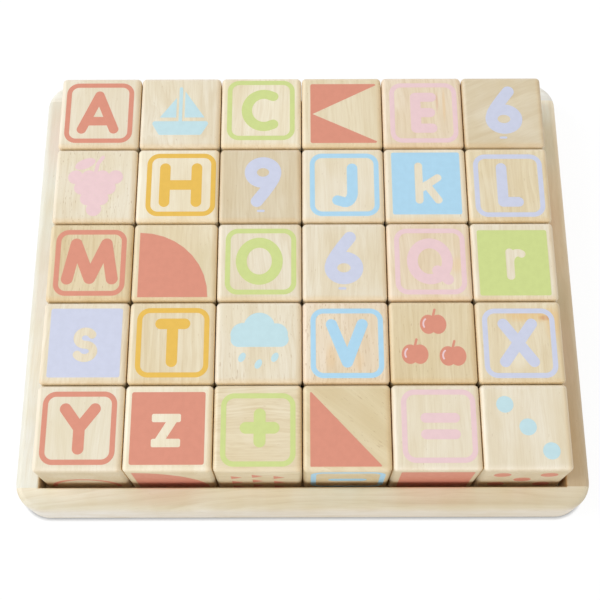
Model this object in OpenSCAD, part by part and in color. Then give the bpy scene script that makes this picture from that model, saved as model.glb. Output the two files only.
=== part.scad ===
// Set of wooden alphabet blocks that stand in rows in a low wooden tray.
// The origin is on the table, under the centre of the tray. +X is to the right,
// +Y is to the back and +Z is up. Lengths are in millimetres.

/* [Blocks] */
// Edge length of a block
block_size = 40; // [30:0.5:60]
// Radius of a block's softened edges and corners
block_edge_r = 2.2; // [1:0.1:8]
// Space between neighbouring blocks
block_gap = 0.4; // [0.3:0.1:3]

/* [Fit in the tray] */
// Space between the outer blocks and each side rail
side_gap = 1.7; // [0.3:0.1:8]
// Space between the front row and the front rail
front_gap = 2.5; // [0.3:0.1:8]
// Space between the back row and the back rail
back_gap = 0.4; // [0.3:0.1:8]

/* [Tray rails] */
// Width of a rail, seen from above
rail_w = 11; // [8:0.5:25]
// Height of the rails above the table
rail_h = 19; // [12:0.5:45]
// Radius of the tray's upright outer corners
corner_r = 14; // [5:0.5:30]
// Radius of the rails' outer top edge
outer_edge_r = 3; // [0.5:0.1:5]
// Radius of the rails' inner top edge
inner_edge_r = 1; // [0.3:0.1:2.5]
// Bevel on the rails' outer bottom edge
bottom_bevel = 0.8; // [0.3:0.1:1.5]

/* [Tray base] */
// Thickness of the base sheet
base_t = 3; // [2:0.1:8]
// Width of the rebate that the base sits in, under each rail
rebate_w = 5; // [2:0.1:7]
// Clearance between the base's edge and the rebate's wall
base_clearance = 0.2; // [0.1:0.1:1]

/* [Hidden] */
$fn = 64;
// Overrun of every cut past the face that it opens
overrun = 1;

// The blocks' names, from the back row to the front row: letters in order, then four with signs
BLOCKS = [
  ["a", "b", "c", "d", "e", "f"],
  ["g", "h", "i", "j", "k", "l"],
  ["m", "n", "o", "p", "q", "r"],
  ["s", "t", "u", "v", "w", "x"],
  ["y", "z", "plus", "triangle", "equals", "dots"]
];
rows = len(BLOCKS);
columns = len(BLOCKS[0]);
pitch = block_size + block_gap;

// Blocks' own space, and the tray round it
cavity_w = columns * pitch - block_gap + 2 * side_gap;
cavity_d = rows * pitch - block_gap + front_gap + back_gap;
tray_w = cavity_w + 2 * rail_w;
tray_d = cavity_d + 2 * rail_w;
first_x = -cavity_w / 2 + side_gap + block_size / 2;
first_y = cavity_d / 2 - back_gap - block_size / 2;

// Tones of the bare wood, as shares of full red, green and blue
block_tone_shares = [[0.91, 0.86, 0.75], [0.94, 0.90, 0.80], [0.88, 0.81, 0.68], [0.92, 0.85, 0.71]];
rail_tone_shares = [0.89, 0.83, 0.69];
base_tone_shares = [0.82, 0.73, 0.57];

function block_node(row, column) = str("block_", BLOCKS[row][column]);

// A square of side w whose corners have the radius r
module soft_square(w, r) {
  square([w, w - 2 * r], center = true);
  square([w - 2 * r, w], center = true);
  for (x = [-1, 1], y = [-1, 1]) translate([x * (w / 2 - r), y * (w / 2 - r)]) circle(r = r);
}

module soft_prism() {
  linear_extrude(height = block_size, center = true) soft_square(block_size, block_edge_r);
}

// What is sanded off one corner of a block, outside the ball that is left there
module corner_waste(x, y, z) {
  ball = block_size / 2 - block_edge_r;
  side = block_edge_r + overrun;
  translate([x * ball, y * ball, z * ball]) difference() {
    translate([x * side / 2, y * side / 2, z * side / 2]) cube(side, center = true);
    sphere(r = block_edge_r);
  }
}

// A solid wooden cube with rounded edges and ball corners
module soft_cube() {
  difference() {
    intersection() {
      soft_prism();
      rotate([90, 0, 0]) soft_prism();
      rotate([0, 90, 0]) soft_prism();
    }
    for (x = [-1, 1], y = [-1, 1], z = [-1, 1]) corner_waste(x, y, z);
  }
}

module block(row, column) {
  tone = block_tone_shares[(2 * row + 3 * column) % len(block_tone_shares)];
  color(tone)
    translate([first_x + column * pitch, first_y - row * pitch, base_t + block_size / 2])
      soft_cube();
}

// Runs a cutter's outline round the tray's outer face, its x pointing outwards from that face
module round_outside() {
  for (side = [0 : 3]) {
    out = (side % 2 == 0 ? tray_w : tray_d) / 2;
    along = (side % 2 == 0 ? tray_d : tray_w) / 2 - corner_r;
    rotate(90 * side) {
      translate([out, 0, 0]) rotate([90, 0, 0])
        linear_extrude(height = 2 * along, center = true) children();
      translate([out - corner_r, along, 0])
        rotate_extrude(angle = 90) translate([corner_r, 0]) children();
    }
  }
}

// Outline of what a rounding cutter takes off a square edge at the origin
module cove(r) {
  difference() {
    translate([-r, -r]) square(r + overrun);
    translate([-r, -r]) circle(r = r);
  }
}

// Outline of what a bevel takes off the bottom edge
module bevel(b) {
  polygon([[-b, 0], [0, b], [overrun, b + overrun], [overrun, -overrun], [-b - overrun, -overrun]]);
}

// Softens the edge between the rails' top and the cavity's four walls
module cavity_edge() {
  for (side = [0 : 3]) {
    wall = (side % 2 == 0 ? cavity_w : cavity_d) / 2;
    along = (side % 2 == 0 ? cavity_d : cavity_w) / 2;
    rotate(90 * side) {
      translate([wall, 0, rail_h]) rotate([90, 0, 0])
        linear_extrude(height = 2 * along, center = true) mirror([1, 0]) cove(inner_edge_r);
      translate([wall, along, rail_h]) rotate_extrude() intersection() {
        mirror([1, 0]) cove(inner_edge_r);
        translate([0, -inner_edge_r]) square(inner_edge_r + overrun);
      }
    }
  }
}

// The four rails as one ring, before they are cut apart
module rail_ring() {
  difference() {
    linear_extrude(height = rail_h) union() {
      square([tray_w, tray_d - 2 * corner_r], center = true);
      square([tray_w - 2 * corner_r, tray_d], center = true);
      for (x = [-1, 1], y = [-1, 1])
        translate([x * (tray_w / 2 - corner_r), y * (tray_d / 2 - corner_r)]) circle(r = corner_r);
    }
    translate([-cavity_w / 2, -cavity_d / 2, -overrun])
      cube([cavity_w, cavity_d, rail_h + 2 * overrun]);
    translate([-cavity_w / 2 - rebate_w, -cavity_d / 2 - rebate_w, -overrun])
      cube([cavity_w + 2 * rebate_w, cavity_d + 2 * rebate_w, base_t + overrun]);
    round_outside() translate([0, rail_h]) cove(outer_edge_r);
    round_outside() bevel(bottom_bevel);
    cavity_edge();
  }
}

// The front and back rails run the whole width, and hold the side rails' ends between them
module long_rail(side) {
  color(rail_tone_shares) intersection() {
    rail_ring();
    translate([0, side * (tray_d - rail_w) / 2, rail_h / 2])
      cube([tray_w, rail_w, rail_h], center = true);
  }
}

module side_rail(side) {
  color(rail_tone_shares) intersection() {
    rail_ring();
    translate([side * (tray_w - rail_w) / 2, 0, rail_h / 2])
      cube([rail_w, cavity_d, rail_h], center = true);
  }
}

// A plywood sheet, glued up into the rebate, flush with the rails' underside
module tray_base() {
  reach = 2 * (rebate_w - base_clearance);
  color(base_tone_shares)
    translate([0, 0, base_t / 2]) cube([cavity_w + reach, cavity_d + reach, base_t], center = true);
}

module front_rail() long_rail(-1);
module back_rail() long_rail(1);
module left_rail() side_rail(-1);
module right_rail() side_rail(1);

tray_base();
front_rail();
back_rail();
left_rail();
right_rail();
for (row = [0 : rows - 1], column = [0 : columns - 1])
  block(row, column);
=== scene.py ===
"""Alphabet blocks in a wooden tray: wood finishes, printed faces and a plain stage.

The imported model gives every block, rail and the base as they are. This file finishes their wood, prints the
blocks' faces, and sets the floor, the light and the camera. Lengths of prints are in millimetres on the face,
and everything that is made in the scene is in metres.
"""

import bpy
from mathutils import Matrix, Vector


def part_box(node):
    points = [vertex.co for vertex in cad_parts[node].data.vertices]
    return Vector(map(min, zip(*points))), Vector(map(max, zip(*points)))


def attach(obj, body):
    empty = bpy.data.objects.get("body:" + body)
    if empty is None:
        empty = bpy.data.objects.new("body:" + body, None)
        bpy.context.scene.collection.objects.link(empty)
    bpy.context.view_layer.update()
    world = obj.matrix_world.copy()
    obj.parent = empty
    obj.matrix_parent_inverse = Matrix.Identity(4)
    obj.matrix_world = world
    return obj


bl_info = {
    "name": "Alphabet Blocks",
    "version": (1, 0, 0),
    "blender": (4, 5, 0),
    "location": "3D View > Sidebar > Blocks",
    "description": "Finishes a tray of printed wooden alphabet blocks",
    "category": "Object",
}

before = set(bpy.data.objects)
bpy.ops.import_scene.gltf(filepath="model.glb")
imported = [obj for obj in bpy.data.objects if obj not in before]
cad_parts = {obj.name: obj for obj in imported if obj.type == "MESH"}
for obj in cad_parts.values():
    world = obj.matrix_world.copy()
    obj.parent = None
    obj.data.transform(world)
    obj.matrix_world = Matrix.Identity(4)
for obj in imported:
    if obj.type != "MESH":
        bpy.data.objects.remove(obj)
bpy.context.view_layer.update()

import math
import random

import bpy
from bpy.props import FloatProperty, FloatVectorProperty, PointerProperty
from bpy.types import Operator, Panel, PropertyGroup
from mathutils import Matrix, Vector
from mathutils.geometry import delaunay_2d_cdt

MM = 0.001

BASE = "tray_base"
BLOCK_LOW, BLOCK_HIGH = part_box("block_a")
BLOCK_SIZE = BLOCK_HIGH.x - BLOCK_LOW.x
# Half a block, and the radius of its softened edges, in millimetres
HALF_BLOCK = BLOCK_SIZE / MM / 2
SOFT_EDGE = 2.2

# Settings that a user would change


def colour(name, description, value):
    """A colour property that holds the screen values of an ink or a wood."""
    return FloatVectorProperty(
        name=name, description=description, default=value, subtype="COLOR_GAMMA", size=3, min=0, max=1
    )


def length(name, description, value, low, high):
    """A length property in metres, shown in the scene's unit."""
    return FloatProperty(
        name=name, description=description, default=value * MM, min=low * MM, max=high * MM,
        unit="LENGTH", precision=5,
    )


def number(name, description, value, low, high, **options):
    return FloatProperty(name=name, description=description, default=value, min=low, max=high, **options)


class BlockPrintSettings(PropertyGroup):
    """Inks and sizes of the prints on the blocks."""

    coral: colour("Coral", "Coral ink", (0.873, 0.580, 0.492))
    yellow: colour("Yellow", "Warm yellow ink", (0.928, 0.755, 0.340))
    green: colour("Green", "Light green ink", (0.825, 0.874, 0.570))
    blue: colour("Light blue", "Light blue ink", (0.697, 0.860, 0.952))
    lavender: colour("Lavender", "Lavender ink", (0.821, 0.840, 0.920))
    pink: colour("Pink", "Pale pink ink", (0.942, 0.817, 0.827))
    cyan: colour("Pale cyan", "Pale cyan ink", (0.779, 0.896, 0.921))
    ink_height: length("Ink height", "How far the ink stands above the wood", 0.045, 0.01, 0.2)
    ink_depth: length("Ink depth", "How far the ink soaks into the wood", 0.12, 0.02, 0.5)
    frame_side: length("Frame side", "Outer side of a letter's frame", 33.8, 20, 36)
    frame_stroke: length("Frame stroke", "Width of the frame's line", 2.4, 0.5, 6)
    frame_corner: length("Frame corner", "Outer radius of the frame's corners", 6.0, 1, 12)
    panel_side: length("Panel side", "Side of a solid printed square", 33.5, 20, 36)
    panel_corner: length("Panel corner", "Radius of a solid square's corners", 1.0, 0.1, 8)
    capital_stroke: length("Capital stroke", "Width of a capital letter's line", 5.2, 1, 9)
    small_stroke: length("Small letter stroke", "Width of a small letter's line", 3.9, 1, 8)
    digit_stroke: length("Digit stroke", "Width of a digit's line", 6.0, 1, 9)


class BlockWoodSettings(PropertyGroup):
    """Tones of the bare wood and the strength of its figure."""

    cream: colour("Cream wood", "Palest blocks", (0.950, 0.915, 0.820))
    pale: colour("Pale wood", "Most of the blocks", (0.930, 0.895, 0.810))
    beige: colour("Beige wood", "Pinkish beige blocks", (0.934, 0.876, 0.783))
    honey: colour("Honey wood", "Yellowish blocks", (0.915, 0.865, 0.745))
    amber: colour("Amber wood", "Warmest blocks", (0.898, 0.838, 0.700))
    tan: colour("Tan wood", "Brownest blocks", (0.878, 0.828, 0.720))
    # The rails' tones are partly their wood and partly painted light and shade: the left and back rails
    # paler, as the lamps light them, and the right rail browner, as it lies in the blocks' shade
    rail: colour("Rail wood", "Front rail of the tray", (0.915, 0.874, 0.774))
    pale_rail: colour("Pale rail wood", "Left rail of the tray", (0.925, 0.928, 0.890))
    back_rail: colour("Back rail wood", "Back rail of the tray", (0.972, 0.974, 0.940))
    brown_rail: colour("Brown rail wood", "Right rail of the tray", (0.899, 0.809, 0.670))
    plywood: colour("Plywood", "Base of the tray", (0.84, 0.755, 0.60))
    grain_strength: number("Grain strength", "Contrast of the wood's grain", 1.0, 0, 3, subtype="FACTOR")


class BlockStageSettings(PropertyGroup):
    """Camera, light and floor."""

    camera_height: length("Camera height", "Camera's height above the table", 531.3, 300, 900)
    lens: number("Lens", "Focal length on a 36 mm sensor", 66.49, 30, 200, unit="CAMERA")
    key_power: number("Key light", "Power of the large soft lamp", 27.2, 0, 100, unit="POWER")
    fill_power: number("Fill light", "Power of the low lamp in front", 10.8, 0, 100, unit="POWER")
    sky_strength: number("Sky strength", "Level of the even light from all sides", 0.64, 0, 2)
    floor_colour: colour("Floor", "Colour of the floor", (0.93, 0.93, 0.93))


# Outlines of the prints, in millimetres from the middle of a face

# Degrees between an arc's points
ARC_STEP = 10
# A stroke that turns by more than this has a sharp corner there
SHARP = math.radians(28)
# Points of a stroke that are closer than this are one
SAME_SPOT = 1e-4


def arc(cx, cy, rx, ry, start, end):
    """Points along part of an ellipse, from one angle to another, in degrees."""
    steps = max(2, round(abs(end - start) / ARC_STEP))
    turn = [math.radians(start + (end - start) * i / steps) for i in range(steps + 1)]
    return [(cx + rx * math.cos(t), cy + ry * math.sin(t)) for t in turn]


def polar(r, degrees):
    return r * math.cos(math.radians(degrees)), r * math.sin(math.radians(degrees))


def ring(cx=0, cy=0, rx=1, ry=1):
    """A closed ellipse as two overlapping open strokes."""
    return [arc(cx, cy, rx, ry, 85, 275), arc(cx, cy, rx, ry, -95, 95)]


# Two strokes that many letters have
LEFT_POST = [(-1, 1), (-1, -1)]
RIGHT_POST = [(1, 1), (1, -1)]
# Each letter is a list of strokes in a box that runs from -1 to 1 both ways
CAPITALS = {
    "A": [[(-1, -1), (0, 1), (1, -1)], [(-0.7, -0.52), (0.7, -0.52)]],
    "B": [
        LEFT_POST,
        [(-1, 1), (0.2, 1)] + arc(0.2, 0.52, 0.65, 0.48, 80, -90) + [(-1, 0.04)],
        [(-1, 0.04), (0.25, 0.04)] + arc(0.25, -0.48, 0.75, 0.52, 80, -90) + [(-1, -1)],
    ],
    "C": [[(1, 0.86)] + arc(0.3, 0, 1.3, 1, 78, 282) + [(1, -0.86)]],
    "D": [LEFT_POST, [(-1, 1), (-0.2, 1)] + arc(-0.2, 0, 1.2, 1, 80, -80) + [(-0.2, -1), (-1, -1)]],
    "E": [[(1, 1), (-1, 1), (-1, -1), (1, -1)], [(-1, 0), (0.8, 0)]],
    "F": [[(1, 1), (-1, 1), (-1, -1)], [(-1, 0), (0.75, 0)]],
    "G": [arc(0, 0, 1, 1, 48, 335) + [(1, -0.1), (0.3, -0.1)]],
    "H": [LEFT_POST, RIGHT_POST, [(-1, 0), (1, 0)]],
    "I": [[(0, 1), (0, -1)]],
    "J": [[(1, 1), (1, -0.4)] + arc(0, -0.4, 1, 0.6, -10, -95) + [(-1, -0.88)]],
    "K": [LEFT_POST, [(1, 1), (-0.9, -0.1)], [(-0.3, 0.2), (1, -1)]],
    "L": [[(-1, 1), (-1, -1), (1, -1)]],
    "M": [[(-1, -1), (-0.68, 1), (0, -0.97), (0.68, 1), (1, -1)]],
    "N": [[(-1, -1), (-1, 1), (1, -1), (1, 1)]],
    "O": ring(),
    "P": [LEFT_POST, [(-1, 1), (0.2, 1)] + arc(0.2, 0.42, 0.8, 0.58, 80, -90) + [(-1, -0.16)]],
    "Q": ring() + [[(0.42, -0.52), (1, -1.02)]],
    "R": [
        LEFT_POST,
        [(-1, 1), (0.2, 1)] + arc(0.2, 0.46, 0.75, 0.54, 80, -90) + [(-1, -0.08)],
        [(0.1, -0.08), (1, -1)],
    ],
    "S": [arc(0, 0.5, 0.94, 0.5, 35, 270) + arc(0, -0.5, 1, 0.5, 80, -145)],
    "T": [[(-1, 1), (1, 1)], [(0, 1), (0, -1)]],
    "U": [[(-1, 1)] + arc(0, -0.15, 1, 0.85, 180, 360) + [(1, 1)]],
    "V": [[(-1, 1), (0, -1), (1, 1)]],
    "W": [[(-1, 1), (-0.52, -1), (0, 0.6), (0.52, -1), (1, 1)]],
    "X": [[(-1, 1), (1, -1)], [(-1, -1), (1, 1)]],
    "Y": [[(-1, 1), (0, 0.02), (1, 1)], [(0, 0.02), (0, -1)]],
}
# Width of each capital, and the height of all but a few of them
CAPITAL_WIDTH = {
    "A": 20.8, "B": 16.5, "C": 18.4, "D": 18.5, "E": 13.1, "F": 13, "G": 19.5, "H": 20.7, "I": 5.2, "J": 12.5,
    "K": 17.5, "L": 12.5, "M": 26.9, "N": 19, "O": 22.4, "P": 16, "Q": 21.9, "R": 16.8, "S": 16, "T": 16.3,
    "U": 18.5, "V": 19.5, "W": 27, "X": 18.4, "Y": 18.6,
}
CAPITAL_HEIGHT = 23.6
CAPITAL_HEIGHTS = {"A": 24, "E": 22.8, "O": 24.2}
# The width of these capitals' lines against that of the others
CAPITAL_WEIGHT = {"A": 0.92, "M": 1.08}

# Small letters, each with its width and height. The z has square bars, and is drawn by a function of its own
SMALL = {
    "a": (13.5, 16.1, ring() + [RIGHT_POST]),
    "b": (13.5, 22.3, [LEFT_POST] + ring(0, -0.36, 1, 0.64)),
    "c": (12.5, 16.1, [arc(0, 0, 1, 1, 50, 310)]),
    "d": (13.5, 22.3, [RIGHT_POST] + ring(0, -0.36, 1, 0.64)),
    "e": (13.5, 16.1, [[(-1, 0), (1, 0)], arc(0, 0, 1, 1, 0, 305)]),
    "f": (10, 22.3, [arc(0.45, 0.55, 0.75, 0.45, 50, 180) + [(-0.3, -1)], [(-1, 0.2), (0.8, 0.2)]]),
    "g": (13.5, 22.3, ring(0, 0.36, 1, 0.64) + [[(1, 1), (1, -0.4)] + arc(0, -0.4, 1, 0.6, -10, -140)]),
    "h": (12.8, 22.3, [LEFT_POST, arc(0, -0.35, 1, 0.6, 180, 0) + [(1, -1)]]),
    "i": (4, 22.3, [[(0, 0.25), (0, -1)], [(0, 1), (0, 0.94)]]),
    "j": (8, 24, [[(0.9, 0.4), (0.9, -0.5)] + arc(-0.1, -0.5, 1, 0.5, -10, -110), [(0.9, 1), (0.9, 0.94)]]),
    "k": (13.1, 22.3, [LEFT_POST, [(1, 0.3), (-0.85, -0.35)], [(-0.2, -0.1), (1, -1)]]),
    "l": (4, 22.3, [[(0, 1), (0, -1)]]),
    "m": (21, 16.1, [LEFT_POST] + [arc(x, 0.35, 0.5, 0.65, 180, 0) + [(x + 0.5, -1)] for x in (-0.5, 0.5)]),
    "n": (13, 16.1, [LEFT_POST, arc(0, 0.15, 1, 0.85, 180, 0) + [(1, -1)]]),
    "o": (14, 16.1, ring()),
    "p": (13.5, 22.3, [LEFT_POST] + ring(0, 0.36, 1, 0.64)),
    "q": (13.5, 22.3, [RIGHT_POST] + ring(0, 0.36, 1, 0.64)),
    "r": (9.6, 16.1, [LEFT_POST, arc(0.35, 0.1, 1.35, 0.85, 180, 62)]),
    "s": (11.8, 16.8, [arc(0, 0.5, 0.9, 0.5, 30, 270) + arc(0, -0.5, 1, 0.5, 80, -150)]),
    "t": (10.5, 21, [[(-0.3, 1)] + arc(0.4, -0.55, 0.7, 0.45, 180, 285), [(-1, 0.42), (0.9, 0.42)]]),
    "u": (13, 16.1, [[(-1, 1)] + arc(0, -0.15, 1, 0.85, 180, 360), RIGHT_POST]),
    "v": (13.5, 16.1, [[(-1, 1), (0, -1), (1, 1)]]),
    "w": (19.5, 16.1, [[(-1, 1), (-0.5, -1), (0, 0.7), (0.5, -1), (1, 1)]]),
    "x": (13.5, 16.1, [[(-1, 1), (1, -1)], [(-1, -1), (1, 1)]]),
    "y": (13.5, 21.5, [[(-1, 1), (0.05, -0.3)], [(1, 1), (-0.55, -1)]]),
}
Z_SIZE = (13.2, 15.4)

# A six, which is also the nine when it is turned by half
SIX = ring(0, -0.49, 1, 0.51) + [[(0.48, 1), (-0.1, 0.55), (-0.58, 0.14), (-0.87, -0.16), (-1, -0.45)]]
# Digits, each with its width, and the short line under each of them with its own
DIGIT_HEIGHT = 27
DIGITS = {
    "0": (17.5, ring()),
    "1": (11, [[(-1, 0.62), (0.6, 1), (0.6, -1)]]),
    "2": (17.5, [arc(0, 0.4, 1, 0.6, 165, -30) + [(-1, -1), (1, -1)]]),
    "3": (17, [arc(-0.05, 0.5, 0.9, 0.5, 150, -90), arc(-0.05, -0.5, 1, 0.5, 90, -150)]),
    "4": (18.5, [[(0.45, -1), (0.45, 1), (-1, -0.35), (1, -0.35)]]),
    "5": (17, [[(0.85, 1), (-0.75, 1), (-0.85, 0.1)], arc(-0.05, -0.35, 1, 0.65, 125, -145)]),
    "6": (18.4, SIX),
    "7": (17, [[(-1, 1), (1, 1), (-0.3, -1)]]),
    "8": (17.5, ring(0, 0.5, 0.85, 0.5) + ring(0, -0.5, 1, 0.5)),
    "9": (18, [[(-x, -y) for x, y in points] for points in SIX]),
}
UNDERLINE = ([(-2.2, -15.6), (0.4, -15.6)], 1.2)
# Signs, each with the width of its lines
SIGNS = {
    "plus": (5.4, [[(-6.3, 0), (6.3, 0)], [(0, -6.3), (0, 6.3)]]),
    "minus": (4.9, [[(-6.4, 0), (6.4, 0)]]),
    "equals": (4.5, [[(-6.65, y), (6.65, y)] for y in (3.8, -3.8)]),
}


def unit(x, y):
    size = math.hypot(x, y) or 1.0
    return x / size, y / size


def smooth_runs(points):
    """Cuts a stroke at its sharp corners, so that each run can be drawn as one rounded line."""
    run = [points[0]]
    for before, here, after in zip(points, points[1:], points[2:]):
        run.append(here)
        a = math.atan2(here[1] - before[1], here[0] - before[0])
        b = math.atan2(after[1] - here[1], after[0] - here[0])
        if abs((b - a + math.pi) % (2 * math.pi) - math.pi) > SHARP:
            yield run
            run = [here]
    yield run + [points[-1]]


def line(points, width):
    """A line of that width along the points, with round ends, as one outline."""
    half = width / 2
    points = [p for i, p in enumerate(points) if i == 0 or math.dist(p, points[i - 1]) > SAME_SPOT]
    left, right = [], []
    last = len(points) - 1
    for i, (x, y) in enumerate(points):
        ahead, behind = points[min(i + 1, last)], points[max(i - 1, 0)]
        tx, ty = unit(ahead[0] - behind[0], ahead[1] - behind[1])
        left.append((x - ty * half, y + tx * half))
        right.append((x + ty * half, y - tx * half))
    out = list(right)
    for (x, y), (nx, ny) in ((points[-1], right[-1]), (points[0], left[0])):
        first = math.degrees(math.atan2(ny - y, nx - x))
        cap = arc(x, y, half, half, first, first + 180)
        out += cap[1:-1]
        if (x, y) == points[-1]:
            out += left[::-1]
    return out


def strokes_in_box(strokes, width, height, stroke, cx=0, cy=0):
    """A letter's strokes as outlines, in a box of that outer width and height."""
    a, b = max(width - stroke, 0) / 2, (height - stroke) / 2
    found = []
    for points in strokes:
        placed = [(cx + x * a, cy + y * b) for x, y in points]
        found += [line(run, stroke) for run in smooth_runs(placed)]
    return found


def disc(cx, cy, r, ry=None):
    return arc(cx, cy, r, ry or r, 0, 360)[:-1]


def soft_rect(width, height, radius, cx=0, cy=0):
    """A rectangle with rounded corners."""
    x, y = width / 2 - radius, height / 2 - radius
    out = []
    for sx, sy, start in ((1, 1, 0), (-1, 1, 90), (-1, -1, 180), (1, -1, 270)):
        out += arc(cx + sx * x, cy + sy * y, radius, radius, start, start + 90)
    return out


def turned(points, degrees, cx=0, cy=0):
    """The outline, turned about the origin and then moved."""
    c, s = math.cos(math.radians(degrees)), math.sin(math.radians(degrees))
    return [(cx + c * x - s * y, cy + s * x + c * y) for x, y in points]


def moved(outlines, across, up):
    return [[(x + across, y + up) for x, y in outline] for outline in outlines]


def grown(layers, growth):
    return [(ink, [[(x * growth, y * growth) for x, y in outline] for outline in outlines])
            for ink, outlines in layers]


def soft_polygon(points, radius):
    """A polygon whose corners are rounded, counter-clockwise and convex."""
    out = []
    count = len(points)
    for i, p in enumerate(points):
        a, b = points[i - 1], points[(i + 1) % count]
        ax, ay = unit(a[0] - p[0], a[1] - p[1])
        bx, by = unit(b[0] - p[0], b[1] - p[1])
        half = math.acos(max(-1, min(1, ax * bx + ay * by))) / 2
        reach = radius / math.tan(half)
        mx, my = unit(ax + bx, ay + by)
        ox, oy = p[0] + mx * radius / math.sin(half), p[1] + my * radius / math.sin(half)
        first = math.degrees(math.atan2(p[1] + ay * reach - oy, p[0] + ax * reach - ox))
        sweep = 180 - math.degrees(2 * half)
        out += arc(ox, oy, radius, radius, first, first + sweep)
    return out


# What a layer paints where the wood stays bare
BARE = None
# Pictures that are drawn larger than they are given
PICTURE_GROWTH = {"grapes": 1.25, "boat": 1.1, "cloud": 1.15, "apples": 1.12}
# Rows of the bunch of grapes, each with its height and the places of its grapes
GRAPE_ROWS = ((3.6, (-7.8, -2.6, 2.6, 7.8)), (-1, (-5.2, 0, 5.2)), (-5.6, (-2.6, 2.6)), (-10.2, (0,)))
APPLE_SPOTS = ((0.4, 7.6), (-7.6, -5.4), (8, -6.2))


def apple(x, y, ink, tint):
    """A round fruit with a stalk and a line of light, as two layers."""
    fruit = [disc(x + side, y, 3.5, 4.2) for side in (-2, 2)]
    stalk = line([(x, y + 3.4), (x + 0.8, y + 6.4)], 1.0)
    return [(ink, fruit + [stalk]), (tint, [line(arc(x - 2.2, y + 0.2, 1.9, 2.4, 120, 215), 0.7)])]


def pictures(ink, tint):
    """Plain pictures that many toy blocks carry, each a list of (ink, outlines) painted in order."""
    petals = [disc(*polar(7.2, a), 4.6) for a in range(0, 360, 60)]
    rays = [line(turned([(9.2, 0), (13.6, 0)], a), 2.2) for a in range(0, 360, 45)]
    star = [polar(r, 90 + 36 * i) for i, r in enumerate([14, 6.2] * 5)]
    drops = [turned(disc(0, 0, 2.1, 1.3), 62, x, y) for x, y in ((-6.6, -6.4), (0, -9.2), (6.6, -6.4))]
    return {
        "boat": [
            (ink, [soft_polygon([(-13.5, -4.5), (-9.5, -11.5), (9.5, -11.5), (13.5, -4.5)], 1.2),
                   line([(0, -5), (0, 12.4)], 1.6), [(1.9, 11), (1.9, -2.6), (11, -2.6)],
                   [(-1.9, 7.6), (-9.4, -2.6), (-1.9, -2.6)]]),
        ],
        "grapes": [
            (ink, [disc(x, y, 2.95) for y, row in GRAPE_ROWS for x in row]),
            (ink, [line([(0, 6), (0.6, 9.5), (2.4, 12.2)], 1.5)]),
            (ink, [turned(disc(0, 0, 4.2, 2.1), 24, -4.4, 9.4)]),
        ],
        "cloud": [
            (ink, [disc(-6.4, 3.2, 5), disc(0.2, 6.2, 6.4), disc(7.2, 3.4, 4.6)]),
            (ink, [soft_rect(23.4, 6.4, 3.2, 0.4, 1.2)]),
            (ink, drops),
        ],
        "apples": [layer for spot in APPLE_SPOTS for layer in apple(*spot, ink, tint)],
        "star": [(ink, [star])],
        "heart": [
            (ink, [disc(-5.4, 4, 6.4), disc(5.4, 4, 6.4), [(-11.1, 1.2), (0, -12.4), (11.1, 1.2), (0, 4.6)]]),
        ],
        "moon": [(ink, [disc(0, 0, 12.6)]), (BARE, [disc(6, 3.6, 10.4)])],
        "sun": [(ink, [disc(0, 0, 6.6)] + rays)],
        "flower": [(ink, petals), (BARE, [disc(0, 0, 3.2)]), (tint, [disc(0, 0, 2.4)])],
        "house": [
            (ink, [soft_rect(18, 13.5, 0.6, 0, -6), [(-12.4, 0.4), (12.4, 0.4), (0, 12.4)]]),
            (BARE, [soft_rect(4.6, 8, 0.5, 0, -8.8)]),
            (BARE, [soft_rect(3.4, 3.4, 0.4, x, -3.6) for x in (-5.4, 5.4)]),
        ],
    }


def plain_shapes(ink):
    """Flat shapes and patterns, each a list of (ink, outlines) painted in order."""
    spots = [(-9.8, 11.0), (0, 0.5), (9.8, -10.5)]
    dice = [(-10.6, 10.8), (10.6, 10.8), (0, 0.6), (-10.6, -9.6), (10.6, -9.6)]
    pennants = [(x, top - fall) for x, top in ((-10.6, 6.4), (-1, 9.4), (8.8, 6.4)) for fall in (0, 11, 22)]
    return {
        "disc": [(ink, [disc(0, 0, 15)])],
        "half": [(ink, [arc(0, -7.5, 16, 16, 0, 180)])],
        "quarter": [(ink, [[(-16.5, -16.5)] + arc(-16.5, -16.5, 33, 33, 0, 90)])],
        "triangle": [(ink, [soft_polygon([(-16.2, 17.9), (-16.2, -17.1), (16.2, -17.1)], 0.4)])],
        "flag": [(ink, [soft_rect(33, 33.5, 1)]), (BARE, [[(-15.5, -0.4), (17.5, -16.4), (17.5, 16.6)]])],
        "diamond": [(ink, [turned(soft_rect(20, 20, 1), 45)])],
        "hoop": [(ink, [disc(0, 0, 15)]), (BARE, [disc(0, 0, 10.4)])],
        "spots": [(ink, [disc(x, y, 3.9) for x, y in spots])],
        "five": [(ink, [disc(x, y, 3.95) for x, y in dice])],
        "stripes": [(ink, [soft_rect(33, 4.2, 0.8, 0, y) for y in (-14, -7, 0, 7, 14)])],
        "checks": [(ink, [soft_rect(8, 8, 0.3, x, y) for i, x in enumerate((-12, -4, 4, 12))
                          for j, y in enumerate((-12, -4, 4, 12)) if (i + j) % 2])],
        "pennants": [(ink, [[(x - 2.3, y - 3.2), (x + 2.6, y), (x - 2.3, y + 3.2)] for x, y in pennants])],
        "arch": [(ink, [arc(0, -12.6, 16.2, 16.2, 0, 180) + arc(0, -12.6, 14.2, 14.2, 180, 0)])],
        "square": [(ink, [soft_rect(33, 33.5, 1)])],
    }


def square_z(width, height, stroke):
    """A small z with square bars, as many children's typefaces draw it."""
    x, y = width / 2, (height - stroke) / 2
    bars = [soft_rect(width, stroke, 0.9, 0, side * y) for side in (-1, 1)]
    return bars + [[(-x, -y - 1.2), (-x + 5.6, -y), (x, y + 1.2), (x - 5.6, y)]]


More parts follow.
